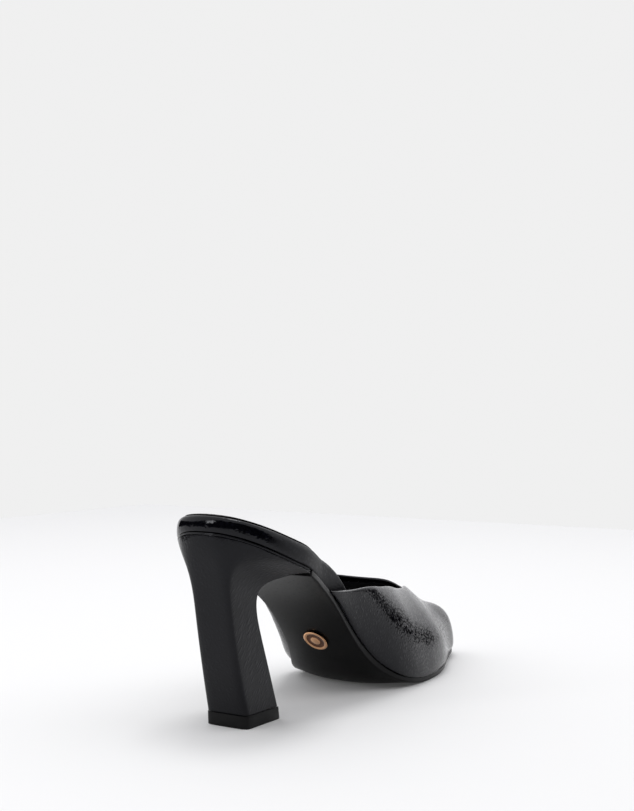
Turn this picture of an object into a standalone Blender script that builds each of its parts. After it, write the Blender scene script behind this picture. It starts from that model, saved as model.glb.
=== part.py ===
"""A black closed-toe mule pump for the left foot, as separate solids at their real size.

The toe points along -Y, the inner side of the foot is -X, and +Z is up. The origin is the
middle of the heel's top piece, on the floor. Distances called along run from the back of
the seat to the toe.
"""

from collections import namedtuple
from math import radians, tau

import bmesh
import bpy
import numpy as np

MM = 0.001

# Sizes of the last
SHOE_LENGTH = 236 * MM
SEAT_HEIGHT = 90.5 * MM
SEAT_WIDTH = 57 * MM
WAIST_WIDTH = 47 * MM
BALL_WIDTH = 70 * MM
INSTEP_HEIGHT = 76 * MM
THROAT_HEIGHT = 44 * MM
TOE_HEIGHT = 25 * MM
TOE_SPRING = 4 * MM
EDGE_LIFT = 5 * MM
SEAT_ROUNDING = 34 * MM
TOE_ROUNDING = 16 * MM

# Sizes of the upper, the sole and the footbed
UPPER_WALL = 1.6 * MM
UPPER_BULGE = 7 * MM
FEATHER_ROLL = 5 * MM
FEATHER_HEIGHT = 5 * MM
FEATHER_TUCK = 0.8 * MM
TUCK_HEIGHT = 2.5 * MM
NOSE_OVERHANG = 0.6 * MM
NOSE_LOW = 8 * MM
NOSE_ROUNDING = 22 * MM
SOLE_THICKNESS = 2.8 * MM
SOLE_PROUD = 0.5 * MM
SOLE_BEVEL = 0.6 * MM
FOOTBED_THICKNESS = 9.6 * MM
FOOTBED_ROUNDING = 2.7 * MM
FOOTBED_DOME = 0.58
FOOTBED_SWELL = 0.7 * MM
WING_DOME = 0.26
WING_LEAN = 0.8 * MM
FOOTBED_FOOT = 0.8 * MM
SOCK_THICKNESS = 0.7 * MM
SOCK_MARGIN = 3.2 * MM
SOCK_EDGE = 0.3 * MM
BADGE_DIAMETER = 13.2 * MM
BADGE_THICKNESS = 1.0 * MM
BADGE_ALONG = 98 * MM

# Sizes of the heel, and the gap between pieces that touch
HEEL_BLOCK_WIDTH = 22 * MM
HEEL_SEAT_LENGTH = 47 * MM
HEEL_TOP_EDGE = 0.8 * MM
TOP_PIECE_HEIGHT = 6 * MM
TOP_PIECE_PROUD = 0.4 * MM
GAP = 0.3 * MM

# How finely each piece is divided
SOLE_COLUMNS = 6
FOOTBED_RINGS = 5
SEAT_STATIONS = 9
WAIST_STATIONS = 7
QUARTER_STATIONS = 19
VAMP_STATIONS = 8
TOE_STATIONS = 9
UPPER_COLUMNS = 11
COLUMN_CROWDING = 1.2
HEEL_LEVELS = 20
HEEL_CORNER_STEPS = 12
HEEL_SIDE_STEPS = 8
BADGE_SIDES = 36

# The last's underside. along is a share of the length, bend moves the middle line to the outer side, half is
# half the width, rise is a share of the seat's height over the tread, and lift raises both edges
SoleRow = namedtuple("SoleRow", "along bend half rise lift")
SOLE_ROWS = (
    SoleRow(0.000, -0.020 * BALL_WIDTH, 0.490 * SEAT_WIDTH, 1.000, 0.00 * EDGE_LIFT),
    SoleRow(0.127, -0.020 * BALL_WIDTH, 0.500 * SEAT_WIDTH, 0.845, 0.00 * EDGE_LIFT),
    SoleRow(0.212, -0.014 * BALL_WIDTH, 0.475 * SEAT_WIDTH, 0.760, 0.00 * EDGE_LIFT),
    SoleRow(0.275, 0.002 * BALL_WIDTH, 0.520 * WAIST_WIDTH, 0.670, 0.06 * EDGE_LIFT),
    SoleRow(0.339, 0.010 * BALL_WIDTH, 0.468 * WAIST_WIDTH, 0.553, 0.20 * EDGE_LIFT),
    SoleRow(0.390, 0.019 * BALL_WIDTH, 0.447 * WAIST_WIDTH, 0.417, 0.40 * EDGE_LIFT),
    SoleRow(0.441, 0.030 * BALL_WIDTH, 0.468 * WAIST_WIDTH, 0.258, 0.66 * EDGE_LIFT),
    SoleRow(0.492, 0.046 * BALL_WIDTH, 0.365 * BALL_WIDTH, 0.110, 0.92 * EDGE_LIFT),
    SoleRow(0.542, 0.060 * BALL_WIDTH, 0.450 * BALL_WIDTH, 0.014, 0.92 * EDGE_LIFT),
    SoleRow(0.593, 0.066 * BALL_WIDTH, 0.500 * BALL_WIDTH, 0.000, 0.40 * EDGE_LIFT),
    SoleRow(0.636, 0.060 * BALL_WIDTH, 0.500 * BALL_WIDTH, 0.000, 0.08 * EDGE_LIFT),
    SoleRow(0.720, 0.034 * BALL_WIDTH, 0.452 * BALL_WIDTH, 0.000, 0.00 * EDGE_LIFT),
    SoleRow(0.784, 0.023 * BALL_WIDTH, 0.387 * BALL_WIDTH, 0.000, 0.00 * EDGE_LIFT),
    SoleRow(0.847, 0.0255 * BALL_WIDTH, 0.3055 * BALL_WIDTH, 0.000, 0.00 * EDGE_LIFT),
    SoleRow(0.911, 0.023 * BALL_WIDTH, 0.221 * BALL_WIDTH, 0.000, 0.00 * EDGE_LIFT),
    SoleRow(0.958, 0.009 * BALL_WIDTH, 0.167 * BALL_WIDTH, 0.000, 0.00 * EDGE_LIFT),
    SoleRow(1.000, -0.016 * BALL_WIDTH, 0.110 * BALL_WIDTH, 0.000, 0.00 * EDGE_LIFT),
)
TREAD_START = 0.572
TREAD_END = 0.790
SEAT_SQUARENESS = 2.3

# The vamp's sections. crown is the height of the ridge over the floor, and ridge moves it to the outer side, as
# a share of the ball's width. As shares of the upper's bulge, the bulges swell the walls low down and shoulder
# draws them in high up. The rolls, shares of the feather's roll, carry them out over the sole's edge, and the
# openings are shares of the quarter turn from sole to crown
UpperRow = namedtuple(
    "UpperRow", "along crown ridge shoulder inner_bulge outer_bulge inner_roll outer_roll inner_open outer_open"
)
UPPER_ROWS = (
    UpperRow(0.314, 1.400 * INSTEP_HEIGHT, 0.010, 0.00, 0.40, 0.40, 0.10, 0.20, 0.008, 0.02),
    UpperRow(0.381, 1.320 * INSTEP_HEIGHT, 0.010, 0.00, 1.00, 1.00, 0.15, 0.85, 0.135, 0.16),
    UpperRow(0.441, 1.170 * INSTEP_HEIGHT, 0.012, 0.00, 1.35, 1.10, 0.10, 1.00, 0.295, 0.32),
    UpperRow(0.496, 1.000 * INSTEP_HEIGHT, 0.015, 0.10, 1.30, 1.00, 0.05, 0.80, 0.435, 0.48),
    UpperRow(0.572, 0.850 * INSTEP_HEIGHT, 0.018, 0.20, 0.60, 1.00, 0.00, 0.35, 0.570, 0.64),
    UpperRow(0.636, 1.290 * THROAT_HEIGHT, 0.022, 0.40, 0.30, 1.00, 0.00, 0.10, 0.640, 0.76),
    UpperRow(0.700, 1.170 * THROAT_HEIGHT, 0.020, 0.60, 0.30, 1.00, 0.00, 0.00, 0.710, 0.87),
    UpperRow(0.746, 1.095 * THROAT_HEIGHT, 0.008, 0.90, 0.35, 1.00, 0.00, 0.00, 0.800, 0.95),
    UpperRow(0.788, 0.965 * THROAT_HEIGHT, -0.008, 0.85, 0.35, 1.00, 0.00, 0.00, 1.000, 1.00),
    UpperRow(0.856, 0.775 * THROAT_HEIGHT, -0.016, 0.15, 0.10, 0.86, 0.00, 0.00, 1.000, 1.00),
    UpperRow(0.915, 1.220 * TOE_HEIGHT, -0.022, -0.32, -0.15, 0.50, 0.00, 0.00, 1.000, 1.00),
    UpperRow(0.960, 1.060 * TOE_HEIGHT, -0.016, -0.22, -0.05, 0.32, 0.00, 0.00, 1.000, 1.00),
    UpperRow(1.000, 0.820 * TOE_HEIGHT, -0.016, 0.00, 0.10, 0.20, 0.00, 0.00, 1.000, 1.00),
)
UPPER_START = UPPER_ROWS[0].along
THROAT = 0.788
OVERHANG_START = 0.86
PROUD_START = 0.314
PROUD_END = 0.414

# The footbed's thickness along the shoe, and where its sides draw in so that the vamp can stand outside them
FootbedRow = namedtuple("FootbedRow", "along thickness")
FOOTBED_ROWS = (
    FootbedRow(0.000, 0.76 * FOOTBED_THICKNESS),
    FootbedRow(0.127, 0.94 * FOOTBED_THICKNESS),
    FootbedRow(0.254, 1.06 * FOOTBED_THICKNESS),
    FootbedRow(0.314, 1.18 * FOOTBED_THICKNESS),
    FootbedRow(0.360, 1.29 * FOOTBED_THICKNESS),
    FootbedRow(0.410, 1.24 * FOOTBED_THICKNESS),
    FootbedRow(0.470, 0.90 * FOOTBED_THICKNESS),
    FootbedRow(0.540, 0.54 * FOOTBED_THICKNESS),
    FootbedRow(0.620, 0.40 * FOOTBED_THICKNESS),
    FootbedRow(1.000, 0.36 * FOOTBED_THICKNESS),
)
COVER_START = 0.150

# The heel's levels, each a loop from the back line to the breast. back_rise and front_rise are shares of the way
# from the heel's bottom to the sole above it, back and front are shares of the seat's length on the heel, and
# seat blends the block into the seat
HeelRow = namedtuple("HeelRow", "level back_rise back front_rise front width seat")
HEEL_ROWS = (
    HeelRow(0.00, 0.000, 0.415, 0.000, 0.935, 1.04 * HEEL_BLOCK_WIDTH, 0.00),
    HeelRow(0.16, 0.163, 0.340, 0.213, 0.837, 1.01 * HEEL_BLOCK_WIDTH, 0.00),
    HeelRow(0.34, 0.378, 0.246, 0.494, 0.707, 0.96 * HEEL_BLOCK_WIDTH, 0.00),
    HeelRow(0.48, 0.548, 0.187, 0.688, 0.622, 0.95 * HEEL_BLOCK_WIDTH, 0.00),
    HeelRow(0.60, 0.677, 0.141, 0.807, 0.610, 0.95 * HEEL_BLOCK_WIDTH, 0.01),
    HeelRow(0.69, 0.763, 0.101, 0.870, 0.628, 0.97 * HEEL_BLOCK_WIDTH, 0.05),
    HeelRow(0.77, 0.833, 0.063, 0.914, 0.675, 1.00 * HEEL_BLOCK_WIDTH, 0.15),
    HeelRow(0.84, 0.887, 0.033, 0.945, 0.765, 1.02 * HEEL_BLOCK_WIDTH, 0.34),
    HeelRow(0.90, 0.930, 0.014, 0.963, 0.865, 1.02 * HEEL_BLOCK_WIDTH, 0.57),
    HeelRow(0.95, 0.962, 0.004, 0.969, 0.940, 1.02 * HEEL_BLOCK_WIDTH, 0.80),
    HeelRow(1.00, 0.984, 0.000, 0.972, 1.000, 1.02 * HEEL_BLOCK_WIDTH, 0.97),
)
BLOCK_SQUARENESS = 6.0
BLOCK_ROUNDING = 0.20
BACK_BLEND = 8

# Where the top piece stands on the floor, as shares of the seat's length on the heel
TOP_PIECE_BACK = 0.421
TOP_PIECE_FRONT = 0.955
TOP_PIECE_EDGE = 0.4 * MM
FRONT_OF_ORIGIN = 0.5 * (TOP_PIECE_BACK + TOP_PIECE_FRONT) * HEEL_SEAT_LENGTH


class Spline:
    """A cubic through the rows of a table, natural at its ends or level at the far one."""

    def __init__(self, xs, ys, level_end=False):
        self.xs = np.asarray(xs, float)
        self.ys = np.asarray(ys, float)
        step = np.diff(self.xs)
        slope = np.diff(self.ys) / step
        size = len(self.xs)
        system = np.eye(size)
        right = np.zeros(size)
        for i in range(1, size - 1):
            system[i, i - 1 : i + 2] = step[i - 1], 2 * (step[i - 1] + step[i]), step[i]
            right[i] = 6 * (slope[i] - slope[i - 1])
        if level_end:
            system[-1, -2:] = step[-1], 2 * step[-1]
            right[-1] = -6 * slope[-1]
        self.curvature = np.linalg.solve(system, right)

    def __call__(self, x):
        x = np.clip(x, self.xs[0], self.xs[-1])
        i = np.clip(np.searchsorted(self.xs, x) - 1, 0, len(self.xs) - 2)
        step = self.xs[i + 1] - self.xs[i]
        after = (x - self.xs[i]) / step
        before = 1 - after
        bow = (before**3 - before) * self.curvature[i] + (after**3 - after) * self.curvature[i + 1]
        return before * self.ys[i] + after * self.ys[i + 1] + bow * step**2 / 6


def column(rows, name, against="along"):
    return Spline([getattr(row, against) for row in rows], [getattr(row, name) for row in rows])


def smooth_step(x):
    x = np.clip(x, 0, 1)
    return x * x * (3 - 2 * x)


ARCH_ROWS = [row for row in SOLE_ROWS if row.along < TREAD_START]
ARCH = Spline(
    [row.along for row in ARCH_ROWS] + [TREAD_START], [row.rise for row in ARCH_ROWS] + [0], level_end=True
)
BEND = column(SOLE_ROWS, "bend")
HALF = column(SOLE_ROWS, "half")
LIFT = column(SOLE_ROWS, "lift")
THICKNESS = column(FOOTBED_ROWS, "thickness")
TREAD_LEVEL = SOLE_THICKNESS + GAP / 2


def rounded(distance, length, power=2.0):
    """0 at an end of the outline, growing to 1 over the given length like a superellipse."""
    share = np.clip(1 - distance / length, 0, 1)
    return (1 - share**power) ** (1 / power)


def quarter_sine(distance, length):
    """0 at the start, growing to 1 over the given length with a level end."""
    return np.sin(tau / 4 * np.clip(distance / length, 0, 1))


def half_width(along):
    seat = rounded(along, SEAT_ROUNDING, SEAT_SQUARENESS)
    toe = rounded(SHOE_LENGTH - along, TOE_ROUNDING)
    return HALF(along / SHOE_LENGTH) * seat * toe


def middle_height(along):
    """Height of the last's underside on its middle line."""
    share = along / SHOE_LENGTH
    arch = np.where(share < TREAD_START, ARCH(share), 0)
    spring = np.clip((share - TREAD_END) / (1 - TREAD_END), 0, None) ** 2
    return TREAD_LEVEL + (SEAT_HEIGHT - TREAD_LEVEL) * arch + TOE_SPRING * spring


def edge_lift(along):
    return np.clip(LIFT(along / SHOE_LENGTH), 0, None)


def edge_height(along):
    """Height of the last's underside along its edges."""
    return middle_height(along) + edge_lift(along)


def slope_at(along):
    nudge = 0.5 * MM
    return (middle_height(along + nudge) - middle_height(along - nudge)) / (2 * nudge)


def steepness(along):
    """How much longer a slope of the underside is than its length on the floor."""
    return np.sqrt(1 + slope_at(along) ** 2)


def seam(along):
    """Half of the gap between the sole and what stands on it."""
    return GAP / 2 * steepness(along)


def sole_bottom(along):
    return -seam(along) - SOLE_THICKNESS * steepness(along)


def footbed_top(along):
    return seam(along) + THICKNESS(along / SHOE_LENGTH) * steepness(along)


def sock_bottom(along):
    return footbed_top(along) + GAP * steepness(along)


def sock_top(along):
    return sock_bottom(along) + SOCK_THICKNESS * steepness(along)


def stations(start):
    """Places along the shoe from start to the toe, shared by all pieces, and closer where the outline turns."""
    seat = SEAT_ROUNDING * (1 - np.cos(np.linspace(0, tau / 4, SEAT_STATIONS, endpoint=False)))
    waist = np.linspace(SEAT_ROUNDING, UPPER_START * SHOE_LENGTH, WAIST_STATIONS, endpoint=False)
    quarter = np.linspace(UPPER_START * SHOE_LENGTH, THROAT * SHOE_LENGTH, QUARTER_STATIONS, endpoint=False)
    vamp = np.linspace(THROAT * SHOE_LENGTH, SHOE_LENGTH - TOE_ROUNDING, VAMP_STATIONS, endpoint=False)
    toe = SHOE_LENGTH - TOE_ROUNDING * (1 - np.cos(np.linspace(tau / 4, 0, TOE_STATIONS + 1)))
    along = np.concatenate([seat, waist, quarter, vamp, toe])
    return np.concatenate([[start], along[along > start + MM]])


def placed(along, across, height):
    return np.stack([across, FRONT_OF_ORIGIN - along, height + 0 * along], axis=-1)


def rim(along, inset, rise):
    """The inner and outer edge of the last's underside, moved in by inset and up by what rise gives there."""
    edges = []
    half = half_width(along)
    for side in (-1, 1):
        across = BEND(along / SHOE_LENGTH) + side * half
        tangent = np.stack([np.gradient(along), np.gradient(across)], axis=-1)
        tangent /= np.linalg.norm(tangent, axis=-1, keepdims=True)
        inward = np.stack([tangent[:, 1], -tangent[:, 0]], axis=-1) * side
        if half[0] == 0:
            inward[0] = 1, 0
        if half[-1] == 0:
            inward[-1] = -1, 0
        moved = along + inset * inward[:, 0]
        edges.append(placed(moved, across + inset * inward[:, 1], edge_height(moved) + rise(moved)))
    return edges


def new_object(name, work):
    mesh = bpy.data.meshes.new(name)
    work.to_mesh(mesh)
    work.free()
    piece = bpy.data.objects.new(name, mesh)
    bpy.data.collections["mule_pump"].objects.link(piece)
    return piece


def cleaned(work):
    """Welds the points that meet at a tip, and turns every face outwards."""
    bmesh.ops.remove_doubles(work, verts=work.verts, dist=0.02 * MM)
    bmesh.ops.dissolve_degenerate(work, edges=work.edges, dist=0.01 * MM)
    bmesh.ops.recalc_face_normals(work, faces=work.faces)
    if work.calc_volume(signed=True) < 0:
        bmesh.ops.reverse_faces(work, faces=work.faces)


def loft(name, rings, columns, sunk=False):
    """A solid skinned over rings of an inner and an outer edge, its middle sunk where the last's edges lift."""
    work = bmesh.new()
    last = len(rings[0][0]) - 1
    grids = []
    for number, (inner, outer) in enumerate(rings):
        capped = number in (0, len(rings) - 1)
        grid = {}
        for k in range(columns + 1):
            share = k / columns
            row = inner * (1 - share) + outer * share
            if sunk:
                row[:, 2] -= edge_lift(FRONT_OF_ORIGIN - row[:, 1]) * (1 - abs(2 * share - 1) ** 3)
            whole = capped or k in (0, columns)
            for i in range(last + 1) if whole else (0, last):
                grid[k, i] = work.verts.new(row[i])
        grids.append(grid)
    border = [(0, i) for i in range(last)] + [(k, last) for k in range(columns)]
    border += [(columns, i) for i in range(last, 0, -1)] + [(k, 0) for k in range(columns, 0, -1)]
    for lower, upper in zip(grids, grids[1:]):
        for here, there in zip(border, border[1:] + border[:1]):
            work.faces.new((lower[here], lower[there], upper[there], upper[here]))
    for grid in (grids[0], grids[-1]):
        for k in range(columns):
            for i in range(last):
                work.faces.new((grid[k, i], grid[k, i + 1], grid[k + 1, i + 1], grid[k + 1, i]))
    cleaned(work)
    return new_object(name, work)


def build_outsole():
    along = stations(HEEL_SEAT_LENGTH + GAP)
    proud = SOLE_PROUD * smooth_step((along / SHOE_LENGTH - PROUD_START) / (PROUD_END - PROUD_START))
    rings = (
        rim(along, SOLE_BEVEL - proud, sole_bottom),
        rim(along, -proud, lambda at: sole_bottom(at) + SOLE_BEVEL),
        rim(along, -proud, lambda at: -seam(at)),
    )
    return loft("outsole", rings, SOLE_COLUMNS, sunk=True)


def covered(along):
    """0 where the footbed's side is bare, growing to 1 where the vamp stands outside it."""
    return smooth_step((along / SHOE_LENGTH - COVER_START) / (UPPER_START - COVER_START))


def side_inset(along):
    """How far the footbed's side draws in from the last's edge, or swells out over it where it is bare."""
    return (FEATHER_TUCK + 2 * GAP) * covered(along) - FOOTBED_SWELL * (1 - covered(along))


def build_footbed():
    """The wrapped board, whose side is domed over a share of its thickness and leans in below the wings."""
    along = stations(0)
    inset = side_inset(along)
    foot = inset + WING_LEAN * covered(along)
    dome = FOOTBED_DOME + (WING_DOME - FOOTBED_DOME) * covered(along)
    rings = [rim(along, foot + FOOTBED_FOOT, seam), rim(along, foot, lambda at: seam(at) + FOOTBED_FOOT)]
    for angle in np.linspace(0, tau / 4, FOOTBED_RINGS):
        drawn_in = FOOTBED_ROUNDING * (1 - np.cos(angle))
        drop = dome * (1 - np.sin(angle))
        rings.append(rim(along, inset + drawn_in, lambda at: footbed_top(at) - drop * THICKNESS(at / SHOE_LENGTH)))
    return loft("footbed", rings, SOLE_COLUMNS, sunk=True)


def build_sock():
    along = stations(0)
    inset = side_inset(along) + SOCK_MARGIN
    rings = (
        rim(along, inset, sock_bottom),
        rim(along, inset, lambda at: sock_top(at) - SOCK_EDGE),
        rim(along, inset + SOCK_EDGE, sock_top),
    )
    return loft("sock_lining", rings, SOLE_COLUMNS, sunk=True)


CROWN = column(UPPER_ROWS, "crown")
RIDGE = column(UPPER_ROWS, "ridge")
SHOULDER = column(UPPER_ROWS, "shoulder")
Side = namedtuple("Side", "sign bulge roll opening")
SIDES = (
    Side(-1, *(column(UPPER_ROWS, name) for name in ("inner_bulge", "inner_roll", "inner_open"))),
    Side(1, *(column(UPPER_ROWS, name) for name in ("outer_bulge", "outer_roll", "outer_open"))),
)


def vamp_point(along, side, turn):
    """A point of the vamp's inner face, turn running from the sole's edge at 0 to the crown at a quarter."""
    share = along / SHOE_LENGTH
    to_toe = SHOE_LENGTH - along
    low = edge_height(along) + seam(along)
    full_rise = NOSE_LOW + (CROWN(share) - low - NOSE_LOW) * rounded(to_toe, NOSE_ROUNDING)
    rise = full_rise * np.sin(turn)
    bend = BEND(share)
    ridge = bend + (RIDGE(share) * BALL_WIDTH - bend) * smooth_step(to_toe / TOE_ROUNDING)
    shape = side.bulge(share) * np.cos(turn) ** 2 - SHOULDER(share) * np.sin(turn) ** 2
    swell = UPPER_BULGE * shape * np.sin(2 * turn)
    tuck = FEATHER_TUCK * (1 - quarter_sine(rise, TUCK_HEIGHT))
    tip = rounded(to_toe, TOE_ROUNDING)
    roll = np.clip(side.roll(share), 0, None) * FEATHER_ROLL * quarter_sine(rise, FEATHER_HEIGHT)
    across = ridge + (bend + side.sign * half_width(along) - ridge) * np.cos(turn)
    across += side.sign * ((swell - tuck) * tip + roll)
    overhang = NOSE_OVERHANG * smooth_step((share - OVERHANG_START) / (1 - OVERHANG_START)) * np.sin(2 * turn)
    moved = along + overhang - tuck * (1 - tip)
    return placed(moved, across, edge_height(moved) + seam(moved) + rise)


def sole_edge(y):
    """Height at which the vamp's wall ends, over the sole's edge."""
    along = FRONT_OF_ORIGIN - y
    return float(edge_height(along) + seam(along))


def build_upper():
    """The vamp's inner face, doubled outwards by the wall's thickness and closed along its rims."""
    along = stations(UPPER_START * SHOE_LENGTH)
    roofed = along > (THROAT - 0.001) * SHOE_LENGTH
    work = bmesh.new()
    for side in SIDES:
        top = np.where(roofed, 1.0, side.opening(along / SHOE_LENGTH)) * tau / 4
        rails = []
        for k in range(UPPER_COLUMNS + 1):
            row = vamp_point(along, side, top * (k / UPPER_COLUMNS) ** COLUMN_CROWDING)
            rails.append([work.verts.new(point) for point in row])
        for lower, upper in zip(rails, rails[1:]):
            for i in range(len(along) - 1):
                corners = (lower[i], upper[i], upper[i + 1], lower[i + 1])
                work.faces.new(corners if side.sign > 0 else corners[::-1])
    bmesh.ops.remove_doubles(work, verts=work.verts, dist=0.02 * MM)
    bmesh.ops.dissolve_degenerate(work, edges=work.edges, dist=0.01 * MM)
    work.normal_update()
    rims = [edge for edge in work.edges if edge.is_boundary]
    inner_faces = list(work.faces)
    outer = {}
    for vert in list(work.verts):
        normal = vert.normal.copy()
        at_sole = vert.co.z < sole_edge(vert.co.y) + 0.01 * MM
        if at_sole:
            normal.z = 0
            normal.normalize()
        point = vert.co + UPPER_WALL * normal
        lowest = sole_edge(point.y)
        point.z = lowest if at_sole else max(point.z, lowest)
        outer[vert] = work.verts.new(point)
    for face in inner_faces:
        work.faces.new([outer[vert] for vert in face.verts])
    for edge in rims:
        first, second = edge.verts
        work.faces.new((first, second, outer[second], outer[first]))
    bmesh.ops.recalc_face_normals(work, faces=work.faces)
    return new_object("upper", work)


HEEL_BOTTOM = TOP_PIECE_HEIGHT + GAP
HEEL_COLUMNS = {name: column(HEEL_ROWS, name, against="level") for name in HeelRow._fields}


def heel_loop(level, inset=0.0):
    """The inner and outer half of one level of the heel, from the middle of its back to the breast."""
    value = {name: float(spline(level)) for name, spline in HEEL_COLUMNS.items()}
    seat = np.clip(value["seat"], 0, 1)
    angle = np.linspace(0, tau / 4, HEEL_CORNER_STEPS + 1)
    side = np.linspace(0, 1, HEEL_SIDE_STEPS + 1)[1:]
    corner = 2 / BLOCK_SQUARENESS
    block_turn = BLOCK_ROUNDING * (1 - np.cos(angle) ** corner)
    block_share = np.concatenate([block_turn, BLOCK_ROUNDING + (1 - BLOCK_ROUNDING) * side])
    block_half = np.concatenate([np.sin(angle) ** corner, np.ones(len(side))]) * value["width"] / 2
    seat_rounding = SEAT_ROUNDING / HEEL_SEAT_LENGTH
    seat_turn = seat_rounding * (1 - np.cos(angle) ** (2 / SEAT_SQUARENESS))
    seat_share = np.concatenate([seat_turn, seat_rounding + (1 - seat_rounding) * side])
    seat_half = half_width(seat_share * HEEL_SEAT_LENGTH)
    share = block_share + (seat_share - block_share) * seat
    half = block_half + (seat_half - block_half) * seat
    back = value["back"] * HEEL_SEAT_LENGTH
    front = value["front"] * HEEL_SEAT_LENGTH
    along = back + (front - back) * share
    seat_ends = np.array([0, HEEL_SEAT_LENGTH])
    ends = middle_height(seat_ends) - seam(seat_ends) - HEEL_BOTTOM
    back_height = HEEL_BOTTOM + value["back_rise"] * ends[0]
    front_height = HEEL_BOTTOM + value["front_rise"] * ends[1]
    under = middle_height(along)
    sag = under - under[0] - (under[-1] - under[0]) * share
    height = back_height + (front_height - back_height) * share + sag * seat
    bend = BEND(along / SHOE_LENGTH) * seat
    backness = (1 - share) ** BACK_BLEND
    half = half - inset * (1 - backness)
    along = along + inset * backness
    return placed(along, bend - half, height), placed(along, bend + half, height)


def build_heel():
    rings = [heel_loop(level) for level in np.linspace(0, 1, HEEL_LEVELS)]
    for inset, drop in ((0.0, HEEL_TOP_EDGE), (0.3 * HEEL_TOP_EDGE, 0.3 * HEEL_TOP_EDGE), (HEEL_TOP_EDGE, 0.0)):
        edges = heel_loop(1.0, inset)
        for edge in edges:
            along = FRONT_OF_ORIGIN - edge[:, 1]
            edge[:, 2] = middle_height(along) - seam(along) - drop
        rings.append(edges)
    return loft("heel", rings, 2)


def build_top_piece():
    bottom_row = HEEL_ROWS[0]
    rings = []
    for height, proud in (
        (0.0, TOP_PIECE_PROUD - TOP_PIECE_EDGE),
        (TOP_PIECE_EDGE, TOP_PIECE_PROUD),
        (TOP_PIECE_HEIGHT, TOP_PIECE_PROUD),
    ):
        rise = height / TOP_PIECE_HEIGHT
        back = (TOP_PIECE_BACK + (bottom_row.back - TOP_PIECE_BACK) * rise) * HEEL_SEAT_LENGTH - proud
        front = (TOP_PIECE_FRONT + (bottom_row.front - TOP_PIECE_FRONT) * rise) * HEEL_SEAT_LENGTH + proud
        edges = heel_loop(0.0, -proud)
        for edge in edges:
            along = FRONT_OF_ORIGIN - edge[:, 1]
            share = (along - along[0]) / (along[-1] - along[0])
            edge[:, 1] = FRONT_OF_ORIGIN - back - (front - back) * share
            edge[:, 2] = height
        rings.append(edges)
    return loft("top_piece", rings, 2)


def build_badge():
    """A rimmed disc with a raised middle, turned round its own axis, its face away from the sole."""
    radius = BADGE_DIAMETER / 2
    face = BADGE_THICKNESS
    profile = (
        (0.00, face),
        (0.30 * radius, 0.95 * face),
        (0.40 * radius, 0.70 * face),
        (0.76 * radius, 0.70 * face),
        (0.82 * radius, face),
        (0.93 * radius, face),
        (radius, 0.75 * face),
        (radius, 0.25 * face),
        (0.92 * radius, 0.0),
        (0.00, 0.0),
    )
    work = bmesh.new()
    corners = [work.verts.new((x, 0, z)) for x, z in profile]
    for start, end in zip(corners, corners[1:]):
        work.edges.new((start, end))
    badge = new_object("sole_badge", work)
    turned = badge.modifiers.new("turned", "SCREW")
    turned.steps = turned.render_steps = BADGE_SIDES
    turned.use_merge_vertices = True
    turned.merge_threshold = 0.01 * MM
    under = middle_height(BADGE_ALONG) + sole_bottom(BADGE_ALONG) - GAP * steepness(BADGE_ALONG)
    badge.location = placed(np.array(BADGE_ALONG), BEND(BADGE_ALONG / SHOE_LENGTH), under)
    badge.rotation_euler = (tau / 2 - np.arctan(slope_at(BADGE_ALONG)), 0, 0)
    return badge


def material(name, colour, roughness, metallic=0.0):
    made = bpy.data.materials.new(name)
    made.use_nodes = True
    shader = made.node_tree.nodes["Principled BSDF"]
    shader.inputs["Base Color"].default_value = (*colour, 1)
    shader.inputs["Roughness"].default_value = roughness
    shader.inputs["Metallic"].default_value = metallic
    return made


def main():
    for leftover in list(bpy.data.objects):
        bpy.data.objects.remove(leftover)
    collection = bpy.data.collections.new("mule_pump")
    bpy.context.scene.collection.children.link(collection)
    pieces = (
        (build_outsole(), material("outsole rubber", (0.012, 0.012, 0.013), 0.6)),
        (build_footbed(), material("wrapped footbed", (0.010, 0.010, 0.012), 0.18)),
        (build_sock(), material("sock lining", (0.020, 0.020, 0.021), 0.55)),
        (build_upper(), material("crinkled patent", (0.012, 0.012, 0.014), 0.15)),
        (build_heel(), material("heel cover", (0.014, 0.014, 0.016), 0.22)),
        (build_top_piece(), material("top piece rubber", (0.010, 0.010, 0.010), 0.65)),
        (build_badge(), material("badge metal", (0.80, 0.45, 0.24), 0.28, 1.0)),
    )
    for piece, finish in pieces:
        piece.data.materials.append(finish)
        piece.data.shade_smooth()
        piece.data.set_sharp_from_angle(angle=radians(38))


main()
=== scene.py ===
"""A black closed-toe mule pump for the left foot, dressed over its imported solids.

The toe points along -Y, the inner side of the foot is -X, and +Z is up. The origin is the
middle of the heel's top piece, on the floor. Every length is in metres.
"""

import logging
import math
from abc import ABC, abstractmethod
from collections.abc import Iterable, Iterator
from contextlib import contextmanager
from dataclasses import dataclass, field
from enum import Enum

import bmesh
import bpy
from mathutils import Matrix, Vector
from mathutils.bvhtree import BVHTree


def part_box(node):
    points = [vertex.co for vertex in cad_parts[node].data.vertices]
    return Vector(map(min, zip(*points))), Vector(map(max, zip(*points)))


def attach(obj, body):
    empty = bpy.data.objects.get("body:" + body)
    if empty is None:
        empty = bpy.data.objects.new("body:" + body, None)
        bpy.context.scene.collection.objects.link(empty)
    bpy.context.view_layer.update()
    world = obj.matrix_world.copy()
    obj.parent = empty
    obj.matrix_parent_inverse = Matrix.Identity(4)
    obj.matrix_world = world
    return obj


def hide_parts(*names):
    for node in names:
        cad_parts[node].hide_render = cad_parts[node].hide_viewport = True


MM = 0.001
LOG = logging.getLogger("mule_pump")

Triple = tuple[float, float, float]
Colour = Triple
Value = bpy.types.NodeSocket | float
FaceOrEdge = bmesh.types.BMFace | bmesh.types.BMEdge


class Elements(Enum):
    """What the operators of edit mode act on."""

    POINTS = "VERT"
    EDGES = "EDGE"
    FACES = "FACE"


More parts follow.
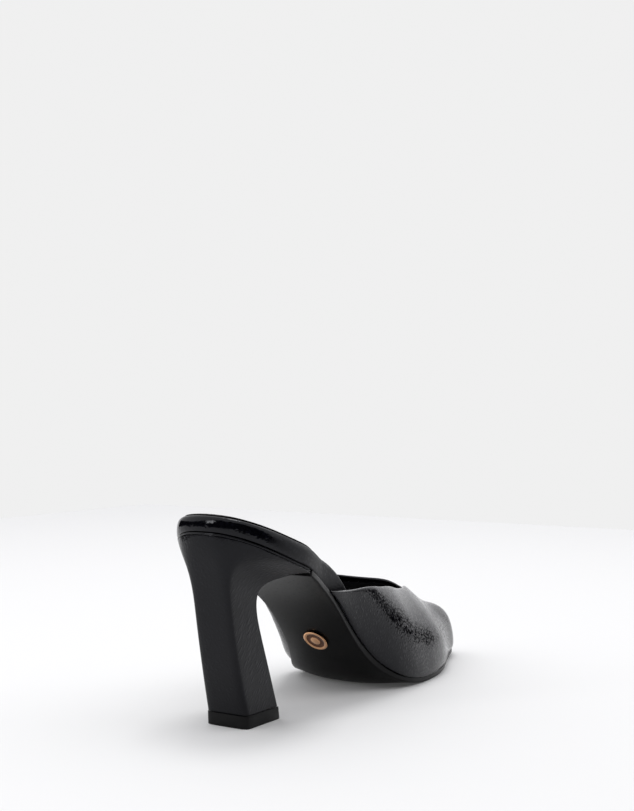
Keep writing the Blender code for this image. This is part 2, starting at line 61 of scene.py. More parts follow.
class Slot(Enum):
    """The record's material slots."""

    OUTSOLE = "outsole"
    FOOTBED = "footbed"
    SOCK = "sock_lining"
    UPPER = "upper"
    HEEL = "heel_cover"
    TOP_PIECE = "top_piece"
    BADGE = "badge"


class Wiring:
    """Adds and joins the shader nodes of one tree."""

    def __init__(self, tree: bpy.types.NodeTree) -> None:
        """Starts on a tree."""
        self.tree = tree

    def add(self, kind: str, **settings: object) -> bpy.types.Node:
        """Adds a node.

        Args:
            kind: The node's type, without its ShaderNode prefix.
            **settings: Its properties.

        Returns:
            The new node.
        """
        node = self.tree.nodes.new("ShaderNode" + kind)
        for key, value in settings.items():
            setattr(node, key, value)
        return node

    def join(self, source: bpy.types.NodeSocket, target: bpy.types.NodeSocket) -> None:
        """Links an output to an input."""
        self.tree.links.new(source, target)

    def maths(self, operation: str, *values: Value) -> bpy.types.NodeSocket:
        """Adds a Math node.

        Args:
            operation: The sum it does.
            *values: Its numbers or sockets, in order.

        Returns:
            The result's socket.
        """
        node = self.add("Math", operation=operation)
        for value, target in zip(values, node.inputs):
            if isinstance(value, bpy.types.NodeSocket):
                self.join(value, target)
            else:
                target.default_value = value
        return node.outputs[0]

    def between(
        self, value: bpy.types.NodeSocket, low: float, high: float, out: tuple[float, float] = (0.0, 1.0)
    ) -> bpy.types.NodeSocket:
        """Maps a value smoothly from one range to another.

        Args:
            value: The socket to read.
            low: The start of its range.
            high: The end of its range.
            out: The range it is mapped to.

        Returns:
            The mapped value's socket.
        """
        node = self.add("MapRange", interpolation_type="SMOOTHSTEP")
        self.join(value, node.inputs["Value"])
        for name, number in zip(("From Min", "From Max", "To Min", "To Max"), (low, high, *out)):
            node.inputs[name].default_value = number
        return node.outputs["Result"]

    def noise(self, place: bpy.types.NodeSocket, detail: float, scale: Value) -> bpy.types.Node:
        """Adds a Noise texture.

        Args:
            place: The coordinates' socket.
            detail: How many finer octaves it has.
            scale: Its features for each unit of the coordinates.

        Returns:
            The texture's node.
        """
        node = self.add("TexNoise", noise_type="FBM")
        node.inputs["Detail"].default_value = detail
        self.join(place, node.inputs["Vector"])
        if isinstance(scale, bpy.types.NodeSocket):
            self.join(scale, node.inputs["Scale"])
        else:
            node.inputs["Scale"].default_value = scale
        return node

    def colours(self, value: bpy.types.NodeSocket, low: Colour, high: Colour) -> bpy.types.NodeSocket:
        """Blends between two colours.

        Args:
            value: The share of the second colour.
            low: The first colour.
            high: The second colour.

        Returns:
            The colour's socket.
        """
        node = self.add("Mix", data_type="RGBA")
        self.join(value, node.inputs["Factor"])
        sockets = [socket for socket in node.inputs if socket.type == "RGBA"]
        sockets[0].default_value = (*low, 1.0)
        sockets[1].default_value = (*high, 1.0)
        return next(socket for socket in node.outputs if socket.type == "RGBA")

    def bump(self, height: bpy.types.NodeSocket, depth: float, shader: bpy.types.Node) -> None:
        """Raises a shader's surface by a height.

        Args:
            height: The height's socket.
            depth: How far a height of 1 stands out, in metres.
            shader: The shader whose normal it turns.
        """
        node = self.add("Bump")
        node.inputs["Strength"].default_value = 1.0
        node.inputs["Distance"].default_value = depth
        self.join(height, node.inputs["Height"])
        self.join(node.outputs["Normal"], shader.inputs["Normal"])


@dataclass(frozen=True)
class Effect(ABC):
    """A shader group that several finishes share."""

    name: str

    @abstractmethod
    def fill(self) -> bpy.types.NodeTree:
        """Makes the group."""

    def tree(self) -> bpy.types.NodeTree:
        """Gives the group, made on its first use."""
        return bpy.data.node_groups.get(self.name) or self.fill()

    def group(
        self, ins: dict[str, float | None], outs: tuple[str, ...]
    ) -> tuple[Wiring, bpy.types.Node, bpy.types.Node]:
        """Starts the group.

        Args:
            ins: Its inputs, a number's default for each, or None for a vector.
            outs: Its number outputs.

        Returns:
            The group's wiring, and its input and output nodes.
        """
        tree = bpy.data.node_groups.new(self.name, "ShaderNodeTree")
        for key, value in ins.items():
            kind = "NodeSocketVector" if value is None else "NodeSocketFloat"
            socket = tree.interface.new_socket(name=key, in_out="INPUT", socket_type=kind)
            if value is not None:
                socket.default_value = value
        for key in outs:
            tree.interface.new_socket(name=key, in_out="OUTPUT", socket_type="NodeSocketFloat")
        return Wiring(tree), tree.nodes.new("NodeGroupInput"), tree.nodes.new("NodeGroupOutput")


@dataclass(frozen=True)
class Crinkle(Effect):
    """The grain of crinkled patent: small pillows parted by creases, over broader unevenness.

    Lengths are in folds. A ridge is where the folds' noise lies high in its range, a pillow is
    full at its reach from the crease round it, and the fold's range is the height at which the
    film counts as sunk in a fold and as raised. Where the Fold output is high, the patent's colour is
    darkened as painted shade.
    """

    fold_detail: float = 1.2
    fold_roughness: float = 0.55
    fold_distortion: float = 0.6
    cell_scale: float = 0.75
    broad_detail: float = 1.5
    ridge_range: tuple[float, float] = (0.3, 0.7)
    ridge_share: float = 0.7
    pillow_reach: float = 0.42
    fold_range: tuple[float, float] = (0.1, 0.5)

    def fill(self) -> bpy.types.NodeTree:
        """Makes the group.

        Returns:
            The group, which gives the height of the grain and how far into a fold a place lies.
        """
        ins = {"Place": None, "Broad Place": None, "Broad Share": 0.4}
        wire, start, end = self.group(ins, ("Height", "Fold"))
        folds = wire.noise(start.outputs["Place"], self.fold_detail, 1.0)
        folds.inputs["Roughness"].default_value = self.fold_roughness
        folds.inputs["Distortion"].default_value = self.fold_distortion
        cells = wire.add("TexVoronoi", feature="DISTANCE_TO_EDGE")
        cells.inputs["Scale"].default_value = self.cell_scale
        wire.join(start.outputs["Place"], cells.inputs["Vector"])
        broad = wire.noise(start.outputs["Broad Place"], self.broad_detail, 1.0)
        ridge = wire.between(folds.outputs["Fac"], *self.ridge_range)
        pillow = wire.between(cells.outputs["Distance"], 0.0, self.pillow_reach)
        crown = wire.maths("MULTIPLY_ADD", ridge, self.ridge_share, 1.0 - self.ridge_share)
        fine = wire.maths("MULTIPLY", pillow, crown)
        wide = wire.maths("MULTIPLY", broad.outputs["Fac"], start.outputs["Broad Share"])
        wire.join(wire.maths("ADD", fine, wide), end.inputs["Height"])
        wire.join(wire.between(fine, *self.fold_range, (1.0, 0.0)), end.inputs["Fold"])
        return wire.tree


@dataclass(frozen=True)
class Handling(Effect):
    """The dust and scuffing of handled surfaces: soft patches broken by fine specks.

    The two counts are of patches and of specks to the metre.
    """

    detail: float = 3.0
    patch_count: float = 60.0
    speck_count: float = 900.0
    patch_range: tuple[float, float] = (0.42, 0.72)
    speck_range: tuple[float, float] = (0.55, 0.75)

    def fill(self) -> bpy.types.NodeTree:
        """Makes the group.

        Returns:
            The group, which gives the share of patches and the share of specks.
        """
        ins = {"Place": None, "Patch Count": self.patch_count, "Speck Count": self.speck_count}
        wire, start, end = self.group(ins, ("Patches", "Specks"))
        for count, output, reach in (
            ("Patch Count", "Patches", self.patch_range),
            ("Speck Count", "Specks", self.speck_range),
        ):
            noise = wire.noise(start.outputs["Place"], self.detail, start.outputs[count])
            wire.join(wire.between(noise.outputs["Fac"], *reach), end.inputs[output])
        return wire.tree


CRINKLE = Crinkle("crinkle grain")
HANDLING = Handling("handling marks")


class Finish(ABC):
    """What every finish does: starts a material, and turns its coordinates or marks it."""

    @abstractmethod
    def build(self) -> bpy.types.Material:
        """Builds the material."""

    @staticmethod
    def start(name: str) -> tuple[bpy.types.Material, Wiring, bpy.types.Node, bpy.types.NodeSocket]:
        """Makes a material with one Principled shader.

        Args:
            name: The material's name.

        Returns:
            The material, its wiring, its shader and the socket of Object coordinates.
        """
        made = bpy.data.materials.new(name)
        made.use_nodes = True
        wire = Wiring(made.node_tree)
        shader = made.node_tree.nodes["Principled BSDF"]
        place = wire.add("TexCoord").outputs["Object"]
        return made, wire, shader, place

    @staticmethod
    def mapped(
        wire: Wiring, place: bpy.types.NodeSocket, turn: Triple, size: Triple
    ) -> bpy.types.NodeSocket:
        """Turns coordinates and stretches them, so that one unit is a feature of the given size.

        Args:
            wire: The tree's wiring.
            place: The coordinates' socket.
            turn: The turn about X, Y and Z, in degrees.
            size: A feature's size along each turned axis.

        Returns:
            The mapped coordinates' socket.
        """
        turned = wire.add("Mapping", vector_type="TEXTURE")
        turned.inputs["Rotation"].default_value = [math.radians(angle) for angle in turn]
        turned.inputs["Scale"].default_value = size
        wire.join(place, turned.inputs["Vector"])
        return turned.outputs["Vector"]

    @staticmethod
    def handled(wire: Wiring, place: bpy.types.NodeSocket) -> bpy.types.Node:
        """Adds the marks of handling.

        Args:
            wire: The tree's wiring.
            place: The coordinates' socket.

        Returns:
            The group's node.
        """
        marks = wire.add("Group")
        marks.node_tree = HANDLING.tree()
        wire.join(place, marks.inputs["Place"])
        return marks


@dataclass(frozen=True)
class Patent(Finish):
    """Black patent leather: a glossy film whose crinkles break up what it mirrors, and whose colour darkens
    in the folds as painted shade.

    Density is the film's index of refraction, and haze the roughness that handling adds. Satin
    is the roughness that the film gains along the waist, between two places along Y.
    """

    name: str
    # painted shade: the film's colour where it is sunk in a fold, darker than where it is raised
    painted_crease_shade: Colour = (0.0015, 0.0015, 0.0025)
    raised: Colour = (0.0035, 0.0035, 0.0055)
    tint: Colour = (0.94, 0.95, 1.0)
    gloss: float = 0.05
    fold_gloss: float = 0.09
    haze: float = 0.04
    turn: Triple = (0.0, 0.0, 0.0)
    fold_size: Triple = (0.8 * MM, 0.72 * MM, 1.7 * MM)
    broad_turn: Triple = (20.0, 35.0, 10.0)
    broad_size: Triple = (9 * MM, 9 * MM, 9 * MM)
    broad_share: float = 1.6
    depth: float = 0.1 * MM
    density: float = 1.35
    satin: float = 0.0
    satin_from: float = 22 * MM
    satin_to: float = 6 * MM

    def build(self) -> bpy.types.Material:
        """Builds the material.

        Returns:
            The material.
        """
        made, wire, shader, place = Finish.start(self.name)
        grain = wire.add("Group")
        grain.node_tree = CRINKLE.tree()
        grain.inputs["Broad Share"].default_value = self.broad_share
        fine_place = Finish.mapped(wire, place, self.turn, self.fold_size)
        broad_place = Finish.mapped(wire, place, self.broad_turn, self.broad_size)
        wire.join(fine_place, grain.inputs["Place"])
        wire.join(broad_place, grain.inputs["Broad Place"])
        # Painted shade: the colour darkens from the raised film into the folds, as if the creases lay in
        # shade.
        colour = wire.colours(grain.outputs["Fold"], self.raised, self.painted_crease_shade)
        wire.join(colour, shader.inputs["Base Color"])
        wire.join(self.roughness(wire, place, grain), shader.inputs["Roughness"])
        wire.bump(grain.outputs["Height"], self.depth, shader)
        shader.inputs["IOR"].default_value = self.density
        shader.inputs["Specular Tint"].default_value = (*self.tint, 1.0)
        return made

    def roughness(
        self, wire: Wiring, place: bpy.types.NodeSocket, grain: bpy.types.Node
    ) -> bpy.types.NodeSocket:
        """Adds up the film's roughness: its gloss, the marks of handling and the satin waist.

        Args:
            wire: The tree's wiring.
            place: The coordinates' socket.
            grain: The crinkle's node.

        Returns:
            The roughness's socket.
        """
        marks = Finish.handled(wire, place)
        film = wire.between(grain.outputs["Fold"], 0.0, 1.0, (self.gloss, self.fold_gloss))
        rough = wire.maths("MULTIPLY_ADD", marks.outputs["Patches"], self.haze, film)
        if not self.satin:
            return rough
        split = wire.add("SeparateXYZ")
        wire.join(place, split.inputs["Vector"])
        waist = wire.between(split.outputs["Y"], self.satin_to, self.satin_from, (self.satin, 0.0))
        return wire.maths("ADD", rough, waist)


@dataclass(frozen=True)
class Matt(Finish):
    """A matt or satin skin: rubber, board or lining cloth, with a fine tooth and handling marks.

    Tooth is the size of the skin's unevenness and depth its height. Haze is the roughness that
    specks add.
    """

    name: str
    colour: Colour
    worn: Colour
    roughness: float
    tooth: float
    depth: float
    sheen: float = 0.0
    shine: float = 0.5
    haze: float = 0.12
    tooth_detail: float = 2.0

    def build(self) -> bpy.types.Material:
        """Builds the material.

        Returns:
            The material.
        """
        made, wire, shader, place = Finish.start(self.name)
        marks = Finish.handled(wire, place)
        colour = wire.colours(marks.outputs["Patches"], self.colour, self.worn)
        wire.join(colour, shader.inputs["Base Color"])
        rough = wire.maths("MULTIPLY_ADD", marks.outputs["Specks"], self.haze, self.roughness)
        wire.join(rough, shader.inputs["Roughness"])
        tooth = wire.noise(place, self.tooth_detail, 1.0 / self.tooth)
        wire.bump(tooth.outputs["Fac"], self.depth, shader)
        shader.inputs["Sheen Weight"].default_value = self.sheen
        shader.inputs["Specular IOR Level"].default_value = self.shine
        return made


@dataclass(frozen=True)
class Metal(Finish):
    """Cast metal trim in brighter and duller patches. Haze is the roughness that specks add."""

    name: str
    bright: Colour
    dull: Colour
    gloss: float
    haze: float = 0.2

    def build(self) -> bpy.types.Material:
        """Builds the material.

        Returns:
            The material.
        """
        made, wire, shader, place = Finish.start(self.name)
        marks = Finish.handled(wire, place)
        colour = wire.colours(marks.outputs["Patches"], self.bright, self.dull)
        wire.join(colour, shader.inputs["Base Color"])
        rough = wire.maths("MULTIPLY_ADD", marks.outputs["Specks"], self.haze, self.gloss)
        wire.join(rough, shader.inputs["Roughness"])
        shader.inputs["Metallic"].default_value = 1.0
        return made


VAMP_PATENT = Patent("vamp patent")
FOOTBED_PATENT = Patent(
    "footbed patent",
    gloss=0.06,
    fold_gloss=0.11,
    fold_size=(1.8 * MM, 2.6 * MM, 1.6 * MM),
    depth=0.045 * MM,
    density=1.33,
    satin=0.42,
)
HEEL_PATENT = Patent(
    "heel patent",
    gloss=0.14,
    fold_gloss=0.22,
    turn=(42, 0, 0),
    fold_size=(1.5 * MM, 1.3 * MM, 4.2 * MM),
    depth=0.06 * MM,
    density=1.31,
)
LINING = Matt(
    "lining cloth",
    colour=(0.075, 0.075, 0.079),
    worn=(0.095, 0.095, 0.1),
    roughness=0.5,
    tooth=0.35 * MM,
    depth=0.02 * MM,
    sheen=0.15,
)
SOCK_SKIN = Matt(
    "sock skin",
    colour=(0.010, 0.010, 0.011),
    worn=(0.016, 0.016, 0.017),
    roughness=0.46,
    tooth=0.5 * MM,
    depth=0.02 * MM,
)
SOLE_RUBBER = Matt(
    "sole rubber",
    colour=(0.0016, 0.0016, 0.0018),
    worn=(0.003, 0.003, 0.0033),
    roughness=0.34,
    tooth=0.4 * MM,
    depth=0.012 * MM,
    shine=0.09,
)
# The sole's edge: a colour lighter than the rubber as painted light caught by the edge, and a little more
# shine.
SOLE_EDGE_PAINTED_LIGHT = Matt(
    "sole edge painted light",
    colour=(0.0022, 0.0022, 0.0026),
    worn=(0.004, 0.004, 0.0045),
    roughness=0.3,
    tooth=0.4 * MM,
    depth=0.012 * MM,
    shine=0.14,
)
LIFT_RUBBER = Matt(
    "top piece rubber",
    colour=(0.003, 0.003, 0.0034),
    worn=(0.005, 0.005, 0.0055),
    roughness=0.42,
    tooth=0.3 * MM,
    depth=0.015 * MM,
    shine=0.18,
)
ROSE_GOLD = Metal("rose gold metal", bright=(0.80, 0.45, 0.25), dull=(0.66, 0.35, 0.19), gloss=0.12)
AGED_FIELD = Metal("aged metal field", bright=(0.16, 0.075, 0.045), dull=(0.09, 0.045, 0.03), gloss=0.32)


class Tool:
    """Mesh work as at the bench: one object at a time, with everything else put down first."""

    MERGE_REACH = 0.005 * MM
    PAIR_BEND = math.radians(50)
    PAIR_SHAPE = math.radians(60)

    @staticmethod
    def put_down() -> None:
        """Deselects every object."""
        bpy.ops.object.select_all(action="DESELECT")

    @staticmethod
    def pick_up(piece: bpy.types.Object) -> None:
        """Selects one object alone and makes it active.

        Args:
            piece: The object to work on.
        """
        Tool.put_down()
        piece.select_set(True)
        bpy.context.view_layer.objects.active = piece

    @staticmethod
    @contextmanager
    def editing(piece: bpy.types.Object, elements: Elements) -> Iterator[bmesh.types.BMesh]:
        """Opens a piece in edit mode with nothing selected.

        Args:
            piece: The object to edit.
            elements: What operators act on.

        Yields:
            The edit mesh, for selecting by place or normal.
        """
        Tool.pick_up(piece)
        bpy.ops.object.mode_set(mode="EDIT")
        bpy.ops.mesh.select_mode(type=elements.value)
        bpy.ops.mesh.select_all(action="DESELECT")
        yield bmesh.from_edit_mesh(piece.data)
        bpy.ops.object.mode_set(mode="OBJECT")

    @staticmethod
    def select(piece: bpy.types.Object, items: Iterable[FaceOrEdge]) -> None:
        """Selects the given faces or edges of the mesh in edit mode.

        Args:
            piece: The object in edit mode.
            items: Its faces or edges to select.
        """
        for item in items:
            item.select_set(True)
        bmesh.update_edit_mesh(piece.data)

    @staticmethod
    def copy_of(node: str, name: str, *finishes: Finish) -> bpy.types.Object:
        """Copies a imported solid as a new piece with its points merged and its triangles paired.

        Args:
            node: The solid's name.
            name: The new piece's name.
            *finishes: Its finishes, the first of which covers it.

        Returns:
            The copy, ready to be shaped.
        """
        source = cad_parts[node]
        piece = bpy.data.objects.new(name, source.data.copy())
        bpy.context.scene.collection.objects.link(piece)
        piece.data.materials.clear()
        with Tool.editing(piece, Elements.POINTS):
            bpy.ops.mesh.select_all(action="SELECT")
            bpy.ops.mesh.remove_doubles(threshold=Tool.MERGE_REACH)
            bpy.ops.mesh.tris_convert_to_quads(
                face_threshold=Tool.PAIR_BEND, shape_threshold=Tool.PAIR_SHAPE
            )
            bpy.ops.mesh.mark_sharp(clear=True)
        for finish in finishes:
            piece.data.materials.append(finish.build())
        return piece

    @staticmethod
    def surface_of(node: str) -> BVHTree:
        """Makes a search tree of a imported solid's faces, to measure from.

        Args:
            node: The solid's name.

        Returns:
            The search tree.
        """
        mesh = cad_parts[node].data
        points = [vert.co for vert in mesh.vertices]
        return BVHTree.FromPolygons(points, [tuple(face.vertices) for face in mesh.polygons])

    @staticmethod
    def refine(piece: bpy.types.Object, levels: int) -> None:
        """Rounds a piece with a subdivision surface.

        Args:
            piece: The object to change.
            levels: How often each face is divided.
        """
        Tool.pick_up(piece)
        modifier = piece.modifiers.new("refine", "SUBSURF")
        modifier.levels = levels
        modifier.render_levels = levels
        bpy.ops.object.modifier_apply(modifier=modifier.name)

    @staticmethod
    def ease_edges(piece: bpy.types.Object, angle: float, width: float) -> None:
        """Bevels the sharp edges of a piece, so that rounding keeps them narrow.

        Args:
            piece: The object to change.
            angle: The least angle between two faces of a sharp edge, in degrees.
            width: The bevel's width.
        """
        with Tool.editing(piece, Elements.EDGES) as work:
            closed = [edge for edge in work.edges if len(edge.link_faces) == 2]
            sharp = [edge for edge in closed if edge.calc_face_angle() > math.radians(angle)]
            Tool.select(piece, sharp)
            bpy.ops.mesh.bevel(offset=width, segments=2, profile=0.5, clamp_overlap=True)

    @staticmethod
    def smooth(piece: bpy.types.Object, angle: float) -> None:
        """Shades a piece smooth, apart from edges sharper than an angle in degrees."""
        Tool.pick_up(piece)
        bpy.ops.object.shade_smooth_by_angle(angle=math.radians(angle))


@dataclass
class SubAssembly(ABC):
    """Pieces that a maker puts together, handed over one by one."""

    pieces: list[bpy.types.Object] = field(default_factory=list, init=False)

    @abstractmethod
    def build(self) -> None:
        """Builds the pieces."""

    def hand_over(self, piece: bpy.types.Object, slot: Slot, *nodes: str) -> None:
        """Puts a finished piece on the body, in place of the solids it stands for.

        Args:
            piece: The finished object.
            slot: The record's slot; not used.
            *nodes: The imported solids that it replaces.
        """
        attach(piece, "root")
        if nodes:
            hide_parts(*nodes)
        self.pieces.append(piece)
        LOG.info("%s: %d faces", piece.name, len(piece.data.polygons))


@dataclass
class Sole(SubAssembly):
    """The outsole, whose edge has a lighter colour as painted light and a little more shine, and the metal
    badge on its waist.

    The painted light's slope is the normal's greatest rise on the edge faces that take the lighter colour.
    The field is the badge's sunk ring, between two shares of its radius. Angles are in degrees.
    """

    levels: int = 1
    edge_angle: float = 32.0
    edge_width: float = 0.25 * MM
    painted_light_slope: float = 0.4
    shade_angle: float = 30.0
    field_from: float = 0.45
    field_to: float = 0.74

    def build(self) -> None:
        """Builds the sole and the badge."""
        sole = Tool.copy_of("outsole", "sole", SOLE_RUBBER, SOLE_EDGE_PAINTED_LIGHT)
        Tool.ease_edges(sole, self.edge_angle, self.edge_width)
        Tool.refine(sole, self.levels)
        for face in sole.data.polygons:
            # Painted light: faces steeper than the slope take the edge's lighter colour.
            face.material_index = 1 if abs(face.normal.z) < self.painted_light_slope else 0
        Tool.smooth(sole, self.shade_angle)
        self.hand_over(sole, Slot.OUTSOLE, "outsole")
        badge = Tool.copy_of("sole_badge", "waist_badge", ROSE_GOLD, AGED_FIELD)
        low, high = (Vector(corner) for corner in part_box("sole_badge"))
        radius = (high.x - low.x) / 2
        for face in badge.data.polygons:
            reach = (face.center - (low + high) / 2).length / radius
            face.material_index = 1 if self.field_from < reach < self.field_to else 0
        Tool.smooth(badge, self.shade_angle)
        self.hand_over(badge, Slot.BADGE, "sole_badge")


@dataclass
class Heel(SubAssembly):
    """The covered block heel with its lip, and the rubber piece it stands on.

    The lip stops short of the heel's front, and its rim is where a face that rises more than
    the slope meets one that doesn't, above the rim's height. Angles are in degrees.
    """

    levels: int = 1
    edge_angle: float = 35.0
    edge_width: float = 0.5 * MM
    lift_edge_width: float = 0.35 * MM
    shade_angle: float = 35.0
    lip_radius: float = 0.45 * MM
    lip_rounding: int = 3
    lip_stop: float = 1.0 * MM
    lip_shade_angle: float = 60.0
    rim_height: float = 55 * MM
    rim_slope: float = 0.8

    def lip(self) -> None:
        """Rolls the cover's edge into a thin lip under the footbed, from wing to wing."""
        lip = Tool.copy_of("heel", "heel_lip")
        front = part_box("heel")[0][1] + self.lip_stop
        with Tool.editing(lip, Elements.EDGES) as work:
            rim = [
                edge
                for edge in work.edges
                if sum(face.normal.z > self.rim_slope for face in edge.link_faces) == 1
                and min(vert.co.y for vert in edge.verts) > front
                and min(vert.co.z for vert in edge.verts) > self.rim_height
            ]
            Tool.select(lip, rim)
            bpy.ops.mesh.select_all(action="INVERT")
            bpy.ops.mesh.delete(type="EDGE")
        Tool.pick_up(lip)
        bpy.ops.object.convert(target="CURVE")
        lip.data.bevel_depth = self.lip_radius
        lip.data.bevel_resolution = self.lip_rounding
        lip.data.use_fill_caps = True
        bpy.ops.object.convert(target="MESH")
        lip.data.materials.append(FOOTBED_PATENT.build())
        Tool.smooth(lip, self.lip_shade_angle)
        self.hand_over(lip, Slot.HEEL)

    def build(self) -> None:
        """Builds the heel with its lip, and its top piece."""
        cover = Tool.copy_of("heel", "heel_cover", HEEL_PATENT)
        Tool.ease_edges(cover, self.edge_angle, self.edge_width)
        Tool.refine(cover, self.levels)
        Tool.smooth(cover, self.shade_angle)
        self.hand_over(cover, Slot.HEEL, "heel")
        self.lip()
        lift = Tool.copy_of("top_piece", "heel_lift", LIFT_RUBBER)
        Tool.ease_edges(lift, self.edge_angle, self.lift_edge_width)
        Tool.smooth(lift, self.shade_angle)
        self.hand_over(lift, Slot.TOP_PIECE, "top_piece")


@dataclass
class Footbed(SubAssembly):
    """The wrapped board under the foot, and the sock lining on it."""

    levels: int = 2
    shade_angle: float = 50.0

    def build(self) -> None:
        """Builds the wrapped board and the sock."""
        board = Tool.copy_of("footbed", "footbed_wrap", FOOTBED_PATENT)
        Tool.refine(board, self.levels)
        Tool.smooth(board, self.shade_angle)
        self.hand_over(board, Slot.FOOTBED, "footbed")
        sock = Tool.copy_of("sock_lining", "sock_skin", SOCK_SKIN)
        Tool.refine(sock, self.levels)
        Tool.smooth(sock, self.shade_angle)
        self.hand_over(sock, Slot.SOCK, "sock_lining")


@dataclass
class Vamp(SubAssembly):
    """The hollow closed-toe upper, with its folded topline and its lining.

    The roof is the inner skin's top, above a height and facing down more than a slope. A point
    within the sole's reach is no part of the topline. The foot is what lies within its reach of
    the sole, and drops to close the clearance. Angles are in degrees.
    """

    levels: int = 2
    shade_angle: float = 60.0
    skin_angle: float = 50.0
    roof_height: float = 28 * MM
    roof_slope: float = 0.4
    fold_thickness: float = 0.4 * MM
    sole_reach: float = 0.8 * MM
    foot_reach: float = 0.45 * MM
    foot_drop: float = 0.24 * MM

    def inner_faces(self, work: bmesh.types.BMesh) -> set[bmesh.types.BMFace]:
        """Finds the faces of the wall that look into the shoe.

        Args:
            work: The vamp's mesh.

        Returns:
            The faces of the inner skin, found by walking from one to all that join it smoothly.
        """
        high = [face for face in work.faces if face.calc_center_median().z > self.roof_height]
        roof = [face for face in high if face.normal.z < -self.roof_slope]
        start = max(roof, key=lambda face: face.calc_area())
        found = {start}
        to_visit = [start]
        while to_visit:
            for edge in to_visit.pop().edges:
                if len(edge.link_faces) != 2 or edge.calc_face_angle() > math.radians(self.skin_angle):
                    continue
                for other in edge.link_faces:
                    if other not in found:
                        found.add(other)
                        to_visit.append(other)
        return found

    def topline(
        self, work: bmesh.types.BMesh, inner: set[bmesh.types.BMFace], sole: BVHTree
    ) -> set[bmesh.types.BMFace]:
        """Finds the inner faces along the topline, which the patent folds over.

        Args:
            work: The vamp's mesh.
            inner: The faces of its inner skin.
            sole: The outsole's faces.

        Returns:
            The inner faces that have a point on the topline.
        """
        rim = set()
        for edge in work.edges:
            sides = [face in inner for face in edge.link_faces]
            if any(sides) and not all(sides):
                rim.update(vert for vert in edge.verts if sole.find_nearest(vert.co)[3] > self.sole_reach)
        return {face for face in inner if any(vert in rim for vert in face.verts)}

    def foot(self, work: bmesh.types.BMesh, sole: BVHTree) -> set[bmesh.types.BMVert]:
        """Finds the points of the wall that stand on the sole.

        Args:
            work: The vamp's mesh.
            sole: The outsole's faces.

        Returns:
            The points within the foot's reach of the sole.
        """
        return {vert for vert in work.verts if sole.find_nearest(vert.co)[3] < self.foot_reach}

    def crease_foot(self, vamp: bpy.types.Object, sole: BVHTree) -> None:
        """Keeps the wall's foot square on the sole, so that no groove opens between them.

        Args:
            vamp: The upper's piece.
            sole: The outsole's faces.
        """
        with Tool.editing(vamp, Elements.EDGES) as work:
            near = self.foot(work, sole)
            Tool.select(vamp, [edge for edge in work.edges if all(vert in near for vert in edge.verts)])
            bpy.ops.transform.edge_crease(value=1.0)

    def build(self) -> None:
        """Builds the vamp: patent outside, a fold of patent over the topline, and cloth inside."""
        vamp = Tool.copy_of("upper", "vamp", VAMP_PATENT, LINING)
        sole = Tool.surface_of("outsole")
        with Tool.editing(vamp, Elements.FACES) as work:
            inner = self.inner_faces(work)
            fold = self.topline(work, inner, sole)
            LOG.info("vamp: %d inner faces, %d of them folded patent", len(inner), len(fold))
            for face in inner:
                face.material_index = 0 if face in fold else 1
            for vert in self.foot(work, sole):
                vert.co.z -= self.foot_drop
            Tool.select(vamp, fold)
            bpy.ops.mesh.extrude_region_shrink_fatten(
                TRANSFORM_OT_shrink_fatten={"value": self.fold_thickness, "use_even_offset": True}
            )
        self.crease_foot(vamp, sole)
        Tool.refine(vamp, self.levels)
        Tool.smooth(vamp, self.shade_angle)
        self.hand_over(vamp, Slot.UPPER, "upper")


@dataclass(frozen=True)
class SoftLight:
    """A rectangular light, with its place, the point it faces, and its power in watts."""

    name: str
    place: Triple
    aim: Triple
    width: float
    height: float
    power: float

    def hang(self) -> None:
        """Hangs the light."""
        data = bpy.data.lights.new(self.name, "AREA")
        data.shape = "RECTANGLE"
        data.size = self.width
        data.size_y = self.height
        data.energy = self.power
        light = bpy.data.objects.new(self.name, data)
        light.location = self.place
        light.rotation_euler = (Vector(self.place) - Vector(self.aim)).to_track_quat("Z", "Y").to_euler()
        bpy.context.scene.collection.objects.link(light)


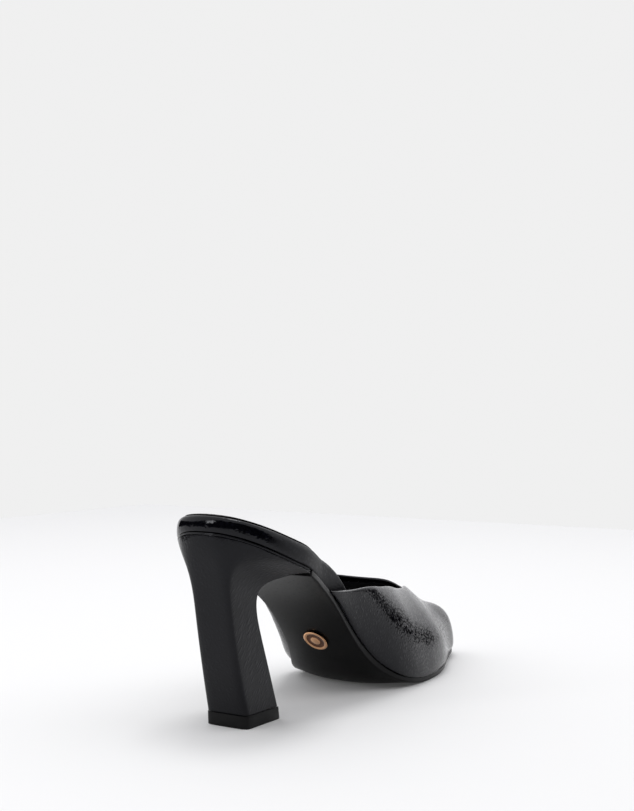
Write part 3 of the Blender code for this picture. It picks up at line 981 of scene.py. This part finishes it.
@dataclass
class Studio:
    """A pale floor, a pale room and soft lights, with the camera at the photo's angle.

    The dark numbers are heights on the sky's unit sphere up to which the room is dark, behind
    the camera and beside the shoe. Beyond the shoe the dark ends lower by the drop. The dark
    gives patent its black streaks between bright patches. Behind and beyond are ranges of the
    cosine to the camera's view, and the camera's bearing is in degrees.
    """

    eye: Triple = (-0.3540, 0.4895, 0.14655)
    bearing: float = 212.6
    lens: float = 57.7
    sensor: float = 36.0
    clip_start: float = 0.01
    clip_end: float = 50.0
    paper: float = 0.87
    bright_side: Colour = (1.10, 1.10, 1.12)
    dark_side: Colour = (0.012, 0.012, 0.012)
    dark_behind: float = 0.62
    dark_beside: float = 0.11
    behind: tuple[float, float] = (-0.6, 0.0)
    beyond: tuple[float, float] = (0.7, 0.9)
    beyond_drop: float = 0.5
    fade: float = 0.05
    floor_size: float = 1.8
    floor_middle: Triple = (0.0, -0.1, 0.0)
    floor_tone: float = 0.79
    floor_roughness: float = 0.9
    floor_shine: float = 0.1
    floor_glow: float = 0.05
    lights: tuple[SoftLight, ...] = (
        SoftLight("left_window", (0.5, 1.0, 0.5), (0.0, 0.0, 0.08), width=0.2, height=0.35, power=1.6),
        SoftLight("top_window", (0.12, -0.3, 1.3), (0.0, -0.08, 0.0), width=0.45, height=0.45, power=4.2),
    )

    def camera(self) -> None:
        """Sets the camera level, behind the shoe and to its inner side."""
        data = bpy.data.cameras.new("camera")
        data.lens = self.lens
        data.sensor_width = self.sensor
        data.clip_start = self.clip_start
        data.clip_end = self.clip_end
        camera = bpy.data.objects.new("camera", data)
        camera.location = self.eye
        camera.rotation_euler = (math.radians(90), 0, math.radians(self.bearing))
        bpy.context.scene.collection.objects.link(camera)
        bpy.context.scene.camera = camera

    def floor(self) -> None:
        """Lays the floor."""
        Tool.put_down()
        bpy.ops.mesh.primitive_plane_add(size=self.floor_size, location=self.floor_middle)
        floor = bpy.context.active_object
        floor.name = "studio_floor"
        made, _, shader, _ = Finish.start("studio paper")
        shader.inputs["Base Color"].default_value = (self.floor_tone, self.floor_tone, self.floor_tone, 1.0)
        shader.inputs["Roughness"].default_value = self.floor_roughness
        shader.inputs["Specular IOR Level"].default_value = self.floor_shine
        shader.inputs["Emission Color"].default_value = (1.0, 1.0, 1.0, 1.0)
        shader.inputs["Emission Strength"].default_value = self.floor_glow
        floor.data.materials.append(made)

    def room(self) -> None:
        """Makes the room: bright overhead and beyond the shoe, and dark low down around the rest."""
        world = bpy.data.worlds.new("room")
        bpy.context.scene.world = world
        world.use_nodes = True
        wire = Wiring(world.node_tree)
        surround = world.node_tree.nodes["Background"]
        output = world.node_tree.nodes["World Output"]
        place = wire.add("TexCoord").outputs["Generated"]
        split = wire.add("SeparateXYZ")
        wire.join(place, split.inputs["Vector"])
        turn = math.radians(self.bearing)
        ahead = wire.maths("MULTIPLY", split.outputs["X"], -math.sin(turn))
        ahead = wire.maths("MULTIPLY_ADD", split.outputs["Y"], math.cos(turn), ahead)
        dark_top = wire.between(ahead, *self.behind, (self.dark_behind, self.dark_beside))
        drop = wire.between(ahead, *self.beyond, (0.0, -self.beyond_drop))
        above = wire.maths("SUBTRACT", split.outputs["Z"], wire.maths("ADD", dark_top, drop))
        share = wire.between(above, 0.0, self.fade)
        wire.join(wire.colours(share, self.dark_side, self.bright_side), surround.inputs["Color"])
        seen = wire.add("Background")
        seen.inputs["Color"].default_value = (self.paper, self.paper, self.paper, 1.0)
        path = wire.add("LightPath")
        mix = wire.add("MixShader")
        wire.join(path.outputs["Is Camera Ray"], mix.inputs["Fac"])
        wire.join(surround.outputs["Background"], mix.inputs[1])
        wire.join(seen.outputs["Background"], mix.inputs[2])
        wire.join(mix.outputs["Shader"], output.inputs["Surface"])

    def build(self) -> None:
        """Builds the studio."""
        bpy.context.scene.view_settings.view_transform = "Standard"
        self.camera()
        self.floor()
        self.room()
        for light in self.lights:
            light.hang()


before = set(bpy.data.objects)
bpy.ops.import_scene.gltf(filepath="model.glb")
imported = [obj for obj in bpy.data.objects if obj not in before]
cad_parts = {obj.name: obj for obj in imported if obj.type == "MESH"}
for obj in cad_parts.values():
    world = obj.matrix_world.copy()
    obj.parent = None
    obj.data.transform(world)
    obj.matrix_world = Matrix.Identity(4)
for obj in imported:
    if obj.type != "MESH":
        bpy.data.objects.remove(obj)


def main() -> None:
    """Builds the studio and then the shoe, from the sole upwards."""
    logging.basicConfig(level=logging.INFO, format="%(name)s: %(message)s")
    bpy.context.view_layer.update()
    Studio().build()
    for part in (Sole(), Heel(), Footbed(), Vamp()):
        part.build()
        LOG.info("%s: %d pieces", type(part).__name__, len(part.pieces))


if __name__ == "__main__":
    main()
